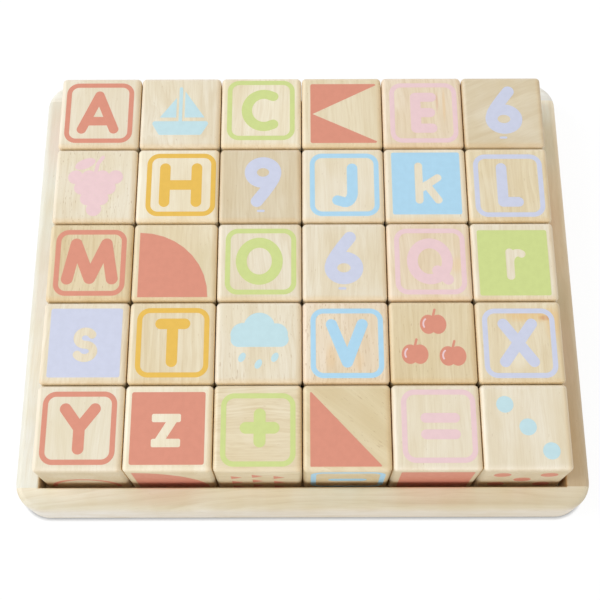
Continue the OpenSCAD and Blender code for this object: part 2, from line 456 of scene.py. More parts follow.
def framed(ink, outlines, settings):
    """The outlines within a rounded square line."""
    side, stroke = settings.frame_side / MM, settings.frame_stroke / MM
    radius = settings.frame_corner / MM
    inner = side - 2 * stroke
    return [
        (ink, [soft_rect(side, side, radius)]),
        (BARE, [soft_rect(inner, inner, radius - stroke)]),
        (ink, outlines),
    ]


def face_print(kind, what, ink, tint, settings, nudge=(0, 0)):
    """One face's print as layers of (ink, outlines), painted in order."""
    if kind == "capital":
        stroke = settings.capital_stroke / MM * CAPITAL_WEIGHT.get(what, 1)
        size = (CAPITAL_WIDTH[what], CAPITAL_HEIGHTS.get(what, CAPITAL_HEIGHT))
        return framed(ink, strokes_in_box(CAPITALS[what], *size, stroke, *nudge), settings)
    if kind == "small":
        side, stroke = settings.panel_side / MM, settings.small_stroke / MM
        if what == "z":
            letter = moved(square_z(*Z_SIZE, stroke), *nudge)
        else:
            width, height, strokes = SMALL[what]
            letter = strokes_in_box(strokes, width, height, stroke, *nudge)
        return [(ink, [soft_rect(side, side, settings.panel_corner / MM)]), (BARE, letter)]
    if kind == "digit":
        width, strokes = DIGITS[what]
        digit = strokes_in_box(strokes, width, DIGIT_HEIGHT, settings.digit_stroke / MM)
        return [(ink, digit + [line(*UNDERLINE)])]
    if kind == "sign":
        width, strokes = SIGNS[what]
        return framed(ink, moved([line(points, width) for points in strokes], *nudge), settings)
    if kind == "picture":
        return grown(pictures(ink, tint)[what], PICTURE_GROWTH.get(what, 1))
    return plain_shapes(ink)[what]


# What stands on each block: its wood, the top print and how far that print is off the face's middle
BLOCKS = {
    "a": ("pale", ("capital", "A", "coral"), (-0.3, -0.1)),
    "b": ("pale", ("picture", "boat", "cyan"), (0, 0)),
    "c": ("cream", ("capital", "C", "green"), (-0.1, 1.2)),
    "d": ("honey", ("shape", "flag", "coral"), (0.8, -0.7)),
    "e": ("beige", ("capital", "E", "pink"), (0.6, -0.5)),
    "f": ("tan", ("digit", "6", "lavender"), (0.2, 0.9)),
    "g": ("pale", ("picture", "grapes", "pink"), (0, 0)),
    "h": ("cream", ("capital", "H", "yellow"), (1.6, 0.3)),
    "i": ("tan", ("digit", "9", "lavender"), (1.25, 1.65)),
    "j": ("pale", ("capital", "J", "blue"), (0.7, 0.1)),
    "k": ("pale", ("small", "k", "blue"), (0.3, 0.7)),
    "l": ("honey", ("capital", "L", "lavender"), (0.2, -0.6)),
    "m": ("amber", ("capital", "M", "coral"), (0.2, -0.3)),
    "n": ("honey", ("shape", "quarter", "coral"), (-0.5, -1.5)),
    "o": ("pale", ("capital", "O", "green"), (0.6, 0.1)),
    "p": ("pale", ("digit", "6", "lavender"), (-0.25, 1.75)),
    "q": ("beige", ("capital", "Q", "pink"), (0.5, -0.1)),
    "r": ("pale", ("small", "r", "green"), (-0.3, -0.9)),
    "s": ("pale", ("small", "s", "lavender"), (0.4, 0.0)),
    "t": ("honey", ("capital", "T", "yellow"), (0.5, 0)),
    "u": ("pale", ("picture", "cloud", "cyan"), (0, 0)),
    "v": ("beige", ("capital", "V", "blue"), (0.6, -0.5)),
    "w": ("amber", ("picture", "apples", "coral"), (0, 0)),
    "x": ("honey", ("capital", "X", "lavender"), (-0.2, -0.7)),
    "y": ("pale", ("capital", "Y", "coral"), (0, 0)),
    "z": ("cream", ("small", "z", "coral"), (-0.2, -0.2)),
    "plus": ("honey", ("sign", "plus", "green"), (0.2, -1.0)),
    "triangle": ("amber", ("shape", "triangle", "coral"), (-0.5, -0.9)),
    "equals": ("pale", ("sign", "equals", "pink"), (1.1, 0.5)),
    "dots": ("pale", ("shape", "spots", "cyan"), (0.7, -0.6)),
}
# Prints on the front faces of the front row
FRONTS = {
    "y": ("shape", "arch", "coral"),
    "z": ("shape", "quarter", "coral"),
    "plus": ("shape", "pennants", "coral"),
    "triangle": ("sign", "minus", "blue"),
    "equals": ("shape", "square", "coral"),
    "dots": ("shape", "five", "coral"),
}
# How far a letter or a sign is off the middle of its own frame or square
NUDGES = {
    "a": (-0.4, 0.3), "c": (-0.5, -0.1), "h": (-0.2, -0.2), "j": (0.2, -0.4), "k": (1.0, 0.1),
    "l": (0.4, 0.3), "m": (0.1, 0.6), "o": (-0.7, 0.1), "q": (-0.2, 0), "r": (1.2, -0.8), "s": (0, -1.0),
    "t": (-0.2, -0.1), "v": (0, -0.1), "x": (-0.6, 0.1), "y": (0.3, -0.4), "z": (-0.7, -1.1),
    "plus": (0.7, 0.8), "equals": (0.6, -0.1),
}
INKS = ("coral", "blue", "green", "lavender", "yellow", "pink", "cyan")
# The ink of a picture's small parts, beside its own
SECOND_INKS = {
    "coral": "pink", "pink": "coral", "cyan": "blue", "blue": "cyan", "green": "yellow", "yellow": "coral",
    "lavender": "blue",
}
PICTURE_ORDER = ("star", "heart", "moon", "sun", "flower", "house", "boat", "cloud", "grapes")
SHAPE_ORDER = ("disc", "stripes", "half", "checks", "diamond", "hoop", "quarter", "five", "triangle")
# A block with two shapes takes the second one from this much further on
SHAPE_STEP = 4
SIDES = ("front", "right", "back", "left", "bottom")
# Letters on the blocks that stand for a sign or a shape
SIGN_BLOCK_LETTERS = "abde"


def other_faces(name, place):
    """Prints of a block's other five faces: what its top doesn't show, in another ink on each face."""
    top = BLOCKS[name][1]
    letter = name if len(name) == 1 else SIGN_BLOCK_LETTERS[place % len(SIGN_BLOCK_LETTERS)]
    kinds = [
        ("capital", letter.upper()),
        ("small", letter),
        ("digit", str(place % 10)),
        ("picture", PICTURE_ORDER[place % len(PICTURE_ORDER)]),
        ("shape", SHAPE_ORDER[place % len(SHAPE_ORDER)]),
    ]
    kinds = [k for k in kinds if k[0] != top[0] or len(name) > 1]
    while len(kinds) < len(SIDES):
        kinds.append(("shape", SHAPE_ORDER[(place + SHAPE_STEP + len(kinds)) % len(SHAPE_ORDER)]))
    start = place % len(SIDES)
    faces = {}
    for i, side in enumerate(SIDES):
        ink = INKS[(place + 2 * i + 1) % len(INKS)]
        faces[side] = kinds[(start + i) % len(SIDES)] + (ink,)
    if name in FRONTS:
        faces["front"] = FRONTS[name]
    return faces


# Right and up on each face, as a reader sees it
FACES = {
    "top": (Vector((1, 0, 0)), Vector((0, 1, 0))),
    "front": (Vector((1, 0, 0)), Vector((0, 0, 1))),
    "right": (Vector((0, 1, 0)), Vector((0, 0, 1))),
    "back": (Vector((-1, 0, 0)), Vector((0, 0, 1))),
    "left": (Vector((0, -1, 0)), Vector((0, 0, 1))),
    "bottom": (Vector((1, 0, 0)), Vector((0, -1, 0))),
}

# Share of the softened edge's radius over which a print bends
WRAP = 0.8


def sink(distance):
    """How far the block's softened edge has fallen away at that distance from the face's middle."""
    over = min(max(distance - (HALF_BLOCK - SOFT_EDGE), 0), SOFT_EDGE * WRAP)
    return SOFT_EDGE - math.sqrt(SOFT_EDGE**2 - over**2)


# Lines across a face, past the start of its softened edges, along which a print bends. Each is drawn well
# past the face's edge
BENDS = [side * (HALF_BLOCK - SOFT_EDGE + step) for side in (-1, 1) for step in (0.0, 0.4, 0.8, 1.2, 1.6)]
BEND_REACH = 30
# The triangulation keeps only what lies inside an outline, and joins points that are closer than this
INSIDE_ONLY = 1
JOINED = 1e-5


def printed_triangles(layers, shift):
    """Cuts the layers' outlines into triangles that don't overlap, as (points, [(triangle, ink)])."""
    points, faces, inks, edges = [], [], [], []
    for bend in BENDS:
        for along in (0, 1):
            for end in (-BEND_REACH, BEND_REACH):
                spot = [end, end]
                spot[along] = bend - shift[along]
                points.append(Vector(spot))
            edges.append((len(points) - 2, len(points) - 1))
    for ink, outlines in layers:
        for outline in outlines:
            first = len(points)
            points += [Vector(p) for p in outline]
            faces.append(list(range(first, len(points))))
            inks.append(ink)
    flat, _, triangles, _, _, origin = delaunay_2d_cdt(points, edges, faces, INSIDE_ONLY, JOINED, True)
    found = []
    for triangle, owners in zip(triangles, origin):
        ink = inks[max(owners)] if owners else BARE
        if ink is not BARE:
            found.append((triangle, ink))
    return flat, found


class PrintSheet:
    """The mesh of one block's prints: thin closed pads of ink."""

    def __init__(self, centre, settings):
        self.centre, self.settings = centre, settings
        self.verts, self.faces, self.inks = [], [], []

    def add(self, face, layers, shift):
        right, up = FACES[face]
        axes = (right, up, right.cross(up))
        flat, triangles = printed_triangles(layers, shift)
        for ink in sorted({ink for _, ink in triangles}):
            self.add_ink(flat, [t for t, i in triangles if i == ink], INKS.index(ink), axes, shift)

    def add_ink(self, flat, triangles, ink, axes, shift):
        right, up, out = axes
        level = {}
        for height in (self.settings.ink_height, -self.settings.ink_depth):
            placed = {}
            for corner in sorted({c for t in triangles for c in t}):
                u, v = flat[corner][0] + shift[0], flat[corner][1] + shift[1]
                drop = (sink(abs(u)) + sink(abs(v))) * MM
                placed[corner] = len(self.verts)
                self.verts.append(
                    self.centre + right * (u * MM) + up * (v * MM) + out * (BLOCK_SIZE / 2 + height - drop)
                )
            level[height > 0] = placed
        for a, b, c in triangles:
            self.face([level[True][i] for i in (a, b, c)], ink)
            self.face([level[False][i] for i in (c, b, a)], ink)
        # An edge that no neighbour shares is the pad's rim
        edges = dict.fromkeys(edge for a, b, c in triangles for edge in ((a, b), (b, c), (c, a)))
        for a, b in edges:
            if (b, a) not in edges:
                self.face([level[True][a], level[False][a], level[False][b], level[True][b]], ink)

    def face(self, corners, ink):
        self.faces.append(corners)
        self.inks.append(ink)

    def make(self, name, materials):
        mesh = bpy.data.meshes.new(name)
        mesh.from_pydata(self.verts, [], self.faces)
        used = sorted(set(self.inks))
        for ink in used:
            mesh.materials.append(materials[INKS[ink]])
        mesh.polygons.foreach_set("material_index", [used.index(i) for i in self.inks])
        mesh.update()
        return add_object(name, mesh)


def add_object(name, data):
    thing = bpy.data.objects.new(name, data)
    bpy.context.scene.collection.objects.link(thing)
    return thing


# Materials


def linear(screen):
    """Screen colour values as light."""
    return tuple(c / 12.92 if c <= 0.04045 else ((c + 0.055) / 1.055) ** 2.4 for c in screen)


def tinted(base, factors):
    return tuple(min(1, c * f) for c, f in zip(base, factors))


NODE_SPACING = 180


class NodeSheet:
    """Adds nodes to a tree in reading order, and links what it is given."""

    def __init__(self, tree):
        self.tree = tree
        self.column = 0

    def add(self, kind, inputs=None, **options):
        node = self.tree.nodes.new(kind)
        node.location = (self.column * NODE_SPACING, 0)
        self.column += 1
        for name, value in options.items():
            setattr(node, name, value)
        for socket, value in (inputs or {}).items():
            self.fill(node.inputs[socket], value)
        return node

    def fill(self, target, value):
        """Links an input to a socket, or gives it a plain value. A colour may come without its alpha."""
        if isinstance(value, bpy.types.NodeSocket):
            self.tree.links.new(value, target)
        elif target.type == "RGBA" and len(value) == 3:
            target.default_value = (*value, 1.0)
        else:
            target.default_value = value

    def maths(self, operation, a, b=0.0):
        return self.add("ShaderNodeMath", {0: a, 1: b}, operation=operation).outputs[0]

    def times(self, a, b):
        return self.maths("MULTIPLY", a, b)

    def larger(self, a, b):
        return self.maths("MAXIMUM", a, b)

    def spread(self, value, low, high, to_low=0.0, to_high=1.0):
        """The value's share of the way from low to high, eased at both ends."""
        ends = {"From Min": low, "From Max": high, "To Min": to_low, "To Max": to_high}
        node = self.add("ShaderNodeMapRange", {"Value": value, **ends}, interpolation_type="SMOOTHSTEP")
        return node.outputs["Result"]

    def vector(self, operation, a, b=(0, 0, 0), output="Vector"):
        return self.add("ShaderNodeVectorMath", {0: a, 1: b}, operation=operation).outputs[output]

    def dot(self, a, b):
        return self.vector("DOT_PRODUCT", a, b, "Value")

    def size(self, a):
        return self.vector("LENGTH", a, output="Value")

    def split(self, vector):
        return self.add("ShaderNodeSeparateXYZ", {0: vector}).outputs

    def join(self, x, z=0.0):
        """A vector across the grain."""
        return self.add("ShaderNodeCombineXYZ", {0: x, 2: z}).outputs[0]

    def noise(self, where, scales, detail=2.0, rough=0.5, output="Fac"):
        """Noise with its own scale along each axis."""
        spot = self.vector("MULTIPLY", where, scales)
        settings = {"Vector": spot, "Scale": 1.0, "Detail": detail, "Roughness": rough}
        return self.add("ShaderNodeTexNoise", settings).outputs[output]

    def mix(self, share, a, b, kind="MIX"):
        return self.add("ShaderNodeMix", {0: share, 6: a, 7: b}, data_type="RGBA", blend_type=kind).outputs[2]

    def tint(self, shade, factors, share=1.0):
        """The shade times the factors, as far as the share goes."""
        return self.mix(share, shade, factors, "MULTIPLY")

    def surface(self, shade, rough, gloss, height, strength, depth):
        """An opaque surface with a fine relief."""
        bump = self.add("ShaderNodeBump", {"Height": height, "Strength": strength, "Distance": depth})
        shader = self.add("ShaderNodeBsdfPrincipled", {
            "Base Color": shade, "Roughness": rough, "Normal": bump.outputs[0], "Specular IOR Level": gloss,
        })
        self.add("ShaderNodeOutputMaterial", {"Surface": shader.outputs[0]})


def fresh_sheet(owner):
    """The empty node tree of a new material or world."""
    owner.use_nodes = True
    owner.node_tree.nodes.clear()
    return NodeSheet(owner.node_tree)


GRAIN = "Solid wood grain"


def grain():
    """The one grain that all woods and inks share."""
    return bpy.data.node_groups.get(GRAIN) or grain_group()


def grain_group():
    """Solid wood: growth rings, fibres, pores and flecks, in millimetres along and across the grain."""
    group = bpy.data.node_groups.new(GRAIN, "ShaderNodeTree")
    for name, kind, value in (
        ("Where", "NodeSocketVector", (0, 0, 0)),
        ("Turn", "NodeSocketVector", (0, 0, 0)),
        ("Pith", "NodeSocketVector", (60, 0, 40)),
        ("Ring width", "NodeSocketFloat", 2.4),
        ("Waviness", "NodeSocketFloat", 1.0),
        ("Bow", "NodeSocketFloat", 0.0),
        ("Fleck share", "NodeSocketFloat", 0.2),
    ):
        socket = group.interface.new_socket(name, in_out="INPUT", socket_type=kind)
        socket.default_value = value
    for name in ("Rings", "Streaks", "Fibres", "Flecks", "Bands"):
        group.interface.new_socket(name, in_out="OUTPUT", socket_type="NodeSocketFloat")
    sheet = NodeSheet(group)
    given = sheet.add("NodeGroupInput").outputs
    millimetres = sheet.vector("MULTIPLY", given["Where"], (1000, 1000, 1000))
    level = sheet.add(
        "ShaderNodeVectorRotate", {"Vector": millimetres, "Rotation": given["Turn"]},
        rotation_type="EULER_XYZ", invert=True,
    ).outputs[0]
    # A bowed board shows its rings as long arches
    along = sheet.split(level)[1]
    rise = sheet.times(given["Bow"], sheet.times(along, along))
    spot = sheet.vector("ADD", sheet.vector("ADD", level, sheet.join(rise)), given["Pith"])
    # The trunk isn't quite straight or round: low waves move the rings aside. A noise's scales are per
    # millimetre across the grain, along it and across it again
    slow = sheet.noise(spot, (0.05, 0.012, 0.05), output="Color")
    sway = sheet.vector("MULTIPLY", sheet.vector("SUBTRACT", slow, (0.5, 0.5, 0.5)), (14, 0, 14))
    strength = sheet.join(given["Waviness"], given["Waviness"])
    swayed = sheet.vector("ADD", spot, sheet.vector("MULTIPLY", sway, strength))
    radius = sheet.size(sheet.vector("MULTIPLY", swayed, (1, 0, 1)))
    ripple = sheet.times(sheet.noise(spot, (0.35, 0.02, 0.35), 3.0), 1.1)
    years = sheet.maths("ADD", sheet.maths("DIVIDE", radius, given["Ring width"]), ripple)
    year = sheet.maths("FRACT", years)
    pores = sheet.noise(spot, (2.2, 0.3, 2.2), 1.0)
    patch = sheet.times(sheet.noise(spot, (0.08, 0.03, 0.08), 1.0), 0.16)
    crowd = sheet.maths("ADD", sheet.times(given["Fleck share"], 0.2), patch)
    rare = sheet.maths("SUBTRACT", 0.88, crowd)
    sheet.add("NodeGroupOutput", {
        "Rings": sheet.times(sheet.spread(year, 0.25, 0.9), sheet.spread(year, 1.0, 0.93)),
        "Streaks": sheet.noise(swayed, (0.8, 0.035, 0.8), 3.0, 0.6),
        "Fibres": sheet.noise(spot, (3.2, 0.07, 3.2), 3.0, 0.6),
        "Flecks": sheet.spread(sheet.maths("SUBTRACT", pores, rare), 0.0, 0.05),
        "Bands": sheet.noise(swayed, (0.11, 0.008, 0.11)),
    })
    return group


# How a piece of wood was cut, and how much each part of its figure shows
PLAIN_CUT = {
    "lean": 0,  # degrees from the back to the right, seen from above
    "roll": None,  # degrees about the grain, or None for a chance one
    "wavy": 1.0,
    "bow": 0.0,
    "ring_width": 2.2,
    "rings": 0.2,
    "streaks": 0.62,
    "flecks": 0.25,
    "fleck_depth": 0.55,
    "stains": (),
    "painted_light_fades": (),  # painted light and shade along a rail: each an axis, its start and end in millimetres, and what is left of the colour at each
    "inward": None,  # a rail's direction to the tray's middle, where its walls take painted shade
    "paint_front_light": False,  # whether a rail's front face takes painted light, paler as if lit from the front
    "open_front": False,  # whether no block stands in front
    "roughness": 0.58,
}
# What is left of red, green and blue in a stain, and how deep it goes in millimetres
STAINS = {
    "orange": (0.99, 0.80, 0.56), "pale": (1.05, 1.08, 1.16), "knot": (0.80, 0.46, 0.33),
    "grey": (0.88, 0.86, 0.76),
}
STAIN_DEPTH = 14
# Tones of the figure's parts and of worn edges, as shares of the wood's own tone
FIGURE_TONES = {
    "pale band": (1.035, 1.04, 1.05),
    "dark band": (0.96, 0.93, 0.88),
    "line": (0.84, 0.77, 0.66),
    "fleck": (0.62, 0.50, 0.38),
    "worn": (0.93, 0.87, 0.78),
}
# What is left of red, green and blue at the two ends of the mottle, and on each kind of face or edge. The
# mottle and the end grain are the wood's own; the rest are painted light and shade
MOTTLES = ((1.02, 1.03, 1.055), (0.98, 0.965, 0.925))
END_GRAIN = (0.88, 0.83, 0.74)
INNER_WALL_PAINTED_SHADE = (0.98, 0.80, 0.58)
PAINTED_FRONT_LIGHT = (1.12, 1.13, 1.26)
PAINTED_EDGE_HIGHLIGHT = (1.10, 1.11, 1.17)
PAINTED_EDGE_SHADE = (0.99, 0.915, 0.82)
PAINTED_GAP_SHADE = (0.92, 0.75, 0.50)
PAINTED_SHADE_BELOW_RAIL = (1.04, 0.95, 0.83)
# Distances from a block's middle at which its edges begin to be worn, to take painted highlight and to take
# painted shade, and their ends
WORN_FROM, WORN_TO = 0.0172, 0.0195
HIGHLIGHT_EDGE_FROM, SHADED_EDGE_FROM, EDGE_TO = 0.0175, 0.0165, 0.019
# How much of the painted highlight shows on an open front edge
OPEN_FRONT_HIGHLIGHT_SHARE = 0.6
# How much darker and smoother a worn edge is
WORN_SHADE, WORN_POLISH = 0.12, 0.24
# How much of the fibres shows in the tone
FIBRE_SHARE = 0.35
WOOD_GLOSS, INK_GLOSS = 0.5, 0.35
# Shares of an ink's tone where it is cloudy and along the wood's fibres, and the tone where it has missed
INK_CLOUD, INK_LINE = 0.965, 0.86
MISSED_INK = (0.93, 0.88, 0.78)
# The floor as the camera sees it: its own grey, and how far the painted contact shadow under the tray's edge
# reaches
FLOOR_GREY = (0.13, 0.13, 0.13)
PAINTED_CONTACT_SHADOW_REACH = 0.002
# The most that a board is sawn askew, in radians
ASKEW = 0.05


def stained(sheet, shade, where, streaks, base, stains, centre):
    """Soft stains in a block's top, frayed along the streaks of its grain."""
    for across, back, half_width, half_depth, share, kind in stains:
        middle = centre + Vector((across, back, HALF_BLOCK)) * MM
        halves = tuple(1 / (half * MM) for half in (half_width, half_depth, STAIN_DEPTH))
        far = sheet.size(sheet.vector("MULTIPLY", sheet.vector("SUBTRACT", where, tuple(middle)), halves))
        cover = sheet.times(sheet.spread(far, 1.15, 0.35), sheet.spread(streaks, 0.25, 0.6, 0.45, 1.0))
        shade = sheet.mix(sheet.times(cover, share), shade, tinted(base, STAINS[kind]))
    return shade


def worn_share(sheet, offset):
    """How far a spot lies on a block's softened edges, where two of its distances are near half a block."""
    x, y, z = sheet.split(sheet.vector("ABSOLUTE", offset))
    pairs = [sheet.maths("MINIMUM", a, b) for a, b in ((x, y), (y, z), (x, z))]
    return sheet.spread(sheet.larger(sheet.larger(*pairs[:2]), pairs[2]), WORN_FROM, WORN_TO)


def painted_light_and_shade(sheet, shade, offset, normal, open_front):
    """Painted light and shade on a block's wood, by the way that each spot faces."""
    across, along, up = sheet.split(offset)
    facing = sheet.split(normal)
    top = sheet.spread(facing[2], 0.0, 0.3)
    # Painted highlight and shade on top: the left and back edges are paler, as if lit, and the right and
    # front ones browner, as if in shade. Where no block stands in front, the front edge gets the painted
    # highlight too
    left = sheet.spread(across, -HIGHLIGHT_EDGE_FROM, -EDGE_TO)
    right = sheet.spread(across, SHADED_EDGE_FROM, EDGE_TO)
    back = sheet.spread(along, HIGHLIGHT_EDGE_FROM, EDGE_TO)
    front = sheet.spread(along, -SHADED_EDGE_FROM, -EDGE_TO)
    highlighted = sheet.larger(left, back)
    if open_front:
        highlighted, shaded = sheet.larger(highlighted, sheet.times(front, OPEN_FRONT_HIGHLIGHT_SHARE)), right
    else:
        shaded = sheet.larger(right, front)
    shade = sheet.tint(shade, PAINTED_EDGE_HIGHLIGHT, sheet.times(highlighted, top))
    shade = sheet.tint(shade, PAINTED_EDGE_SHADE, sheet.times(shaded, top))
    # Painted shade: faces that stand against other blocks are browner, as shade in the gaps, and the front
    # faces below the front rail's top are warmer, as the shade behind the rail
    shade = sheet.tint(shade, PAINTED_GAP_SHADE, sheet.spread(sheet.maths("ABSOLUTE", facing[0]), 0.90, 0.99))
    low = sheet.times(sheet.spread(up, -0.001, -0.008), sheet.spread(facing[1], -0.5, -0.9))
    return sheet.tint(shade, PAINTED_SHADE_BELOW_RAIL, low)


def wood_material(name, tone, seed, strength, cut, centre=None):
    """Sanded bare wood. Every board is cut from its own place in the tree. Only a block gives its centre."""
    cut = {**PLAIN_CUT, **cut}
    draw = random.Random(seed)
    material = bpy.data.materials.new(name)
    sheet = fresh_sheet(material)
    coordinates = sheet.add("ShaderNodeTexCoord").outputs
    where, normal = coordinates["Object"], coordinates["Normal"]
    lean = math.radians(cut["lean"])
    roll = draw.uniform(-math.pi, math.pi) if cut["roll"] is None else math.radians(cut["roll"])
    turn = (draw.uniform(-ASKEW, ASKEW), -roll, draw.uniform(-ASKEW, ASKEW) - lean)
    pith = (draw.uniform(35, 110), draw.uniform(-400, 400), draw.uniform(-30, 30))
    figure = sheet.add("ShaderNodeGroup", node_tree=grain(), inputs={
        "Where": where, "Turn": turn, "Pith": pith, "Ring width": cut["ring_width"], "Waviness": cut["wavy"],
        "Bow": cut["bow"], "Fleck share": cut["flecks"],
    }).outputs
    base = linear(tone)
    tones = {part: tinted(base, factors) for part, factors in FIGURE_TONES.items()}
    streaks = sheet.spread(figure["Streaks"], 0.42, 0.78, 0.0, cut["streaks"] * strength)
    fibres = sheet.spread(figure["Fibres"], 0.35, 0.8, 0.0, FIBRE_SHARE * strength)
    shade = sheet.mix(sheet.spread(figure["Bands"], 0.3, 0.7), tones["pale band"], tones["dark band"])
    for share in (sheet.times(figure["Rings"], cut["rings"] * strength), streaks, fibres):
        shade = sheet.mix(share, shade, tones["line"])
    mottle = sheet.spread(sheet.noise(where, (62, 40, 62)), 0.3, 0.7)
    shade = sheet.tint(shade, sheet.mix(mottle, *MOTTLES))
    shade = stained(sheet, shade, where, figure["Streaks"], base, cut["stains"], centre)
    flecks = sheet.times(figure["Flecks"], cut["fleck_depth"] * strength)
    shade = sheet.mix(flecks, shade, tones["fleck"])
    # End grain soaks up more light
    ends = sheet.maths("ABSOLUTE", sheet.dot(normal, (math.sin(lean), math.cos(lean), 0)))
    shade = sheet.tint(shade, END_GRAIN, sheet.spread(ends, 0.5, 0.95))
    # Painted light and shade: the rail lighter or darker along an axis, as the lamps fall on it
    for axis, start, end, first, last in cut["painted_light_fades"]:
        share = sheet.spread(sheet.split(where)[axis], start * MM, end * MM)
        shade = sheet.tint(shade, sheet.mix(share, first, last))
    if cut["inward"]:
        # Painted shade: the walls of the space for the blocks are browner, as shade in the gap
        shade = sheet.tint(shade, INNER_WALL_PAINTED_SHADE, sheet.spread(sheet.dot(normal, cut["inward"]), 0.6, 0.95))
    # Painted light: the front face of the front rail is paler, as if lit from the front
    if cut["paint_front_light"]:
        shade = sheet.tint(shade, PAINTED_FRONT_LIGHT, sheet.spread(sheet.dot(normal, (0, -1, 0)), 0.55, 1.0))
    rough = sheet.spread(figure["Fibres"], 0.2, 0.9, cut["roughness"] - 0.06, cut["roughness"] + 0.08)
    if centre is not None:
        # Softened edges are handled more, and are a little darker and smoother
        offset = sheet.vector("SUBTRACT", where, tuple(centre))
        worn = worn_share(sheet, offset)
        shade = sheet.mix(sheet.times(worn, WORN_SHADE), shade, tones["worn"])
        # Painted highlight and shade on the block's edges, and painted shade in its gaps
        shade = painted_light_and_shade(sheet, shade, offset, normal, cut["open_front"])
        rough = sheet.maths("SUBTRACT", rough, sheet.times(worn, WORN_POLISH))
    relief = sheet.maths("SUBTRACT", sheet.times(figure["Fibres"], 0.5), figure["Flecks"])
    sheet.surface(shade, rough, WOOD_GLOSS, relief, 0.25, 0.00008)
    return material


def ink_material(name, tone):
    """Thin flat ink: even, with the wood's fibres just showing."""
    material = bpy.data.materials.new(name)
    sheet = fresh_sheet(material)
    where = sheet.add("ShaderNodeTexCoord").outputs["Object"]
    fibres = sheet.add("ShaderNodeGroup", {"Where": where}, node_tree=grain()).outputs["Fibres"]
    base = linear(tone)
    cloudy = sheet.noise(where, (300, 300, 300), 3.0)
    even = sheet.mix(sheet.spread(cloudy, 0.3, 0.7), base, tuple(c * INK_CLOUD for c in base))
    lined = sheet.mix(sheet.spread(fibres, 0.4, 0.9, 0.0, 0.12), even, tuple(c * INK_LINE for c in base))
    speck = sheet.spread(sheet.noise(where, (2600, 2600, 2600), 1.0), 0.74, 0.82, 0.0, 0.35)
    shade = sheet.mix(speck, lined, linear(MISSED_INK))
    sheet.surface(shade, sheet.spread(cloudy, 0.2, 0.8, 0.48, 0.6), INK_GLOSS, fibres, 0.15, 0.00005)
    return material


def seen_directly(sheet):
    """1 for what the camera sees, also in a gloss or through glass, and 0 for what only lights the object."""
    path = sheet.add("ShaderNodeLightPath").outputs
    shine = sheet.larger(path["Is Glossy Ray"], path["Is Transmission Ray"])
    return sheet.larger(path["Is Camera Ray"], shine)


def floor_material(tone):
    """White for the camera, with the object's soft shadow kept and a painted contact shadow under its edges,
    and a plain pale floor for the light.
    """
    material = bpy.data.materials.new("Pale floor")
    sheet = fresh_sheet(material)
    plain = sheet.add("ShaderNodeBsdfDiffuse", {"Color": linear(tone)})
    shade = sheet.add("ShaderNodeBsdfDiffuse", {"Color": FLOOR_GREY})
    # Painted shadow: the white that the camera sees is darker where the tray meets the floor
    contact_shadow = sheet.add("ShaderNodeAmbientOcclusion", {"Distance": PAINTED_CONTACT_SHADOW_REACH}, samples=8).outputs["AO"]
    level = sheet.times(sheet.maths("POWER", contact_shadow, 1.5), 0.9)
    white = sheet.add("ShaderNodeEmission", {"Color": (1, 1, 1), "Strength": level})
    both = sheet.add("ShaderNodeAddShader", {0: shade.outputs[0], 1: white.outputs[0]})
    parts = {0: seen_directly(sheet), 1: plain.outputs[0], 2: both.outputs[0]}
    sheet.add("ShaderNodeOutputMaterial", {"Surface": sheet.add("ShaderNodeMixShader", parts).outputs[0]})
    return material


def give(node, material):
    """Puts the material on a CAD part's own slots."""
    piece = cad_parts[node]
    piece.data.materials.clear()
    piece.data.materials.append(material)


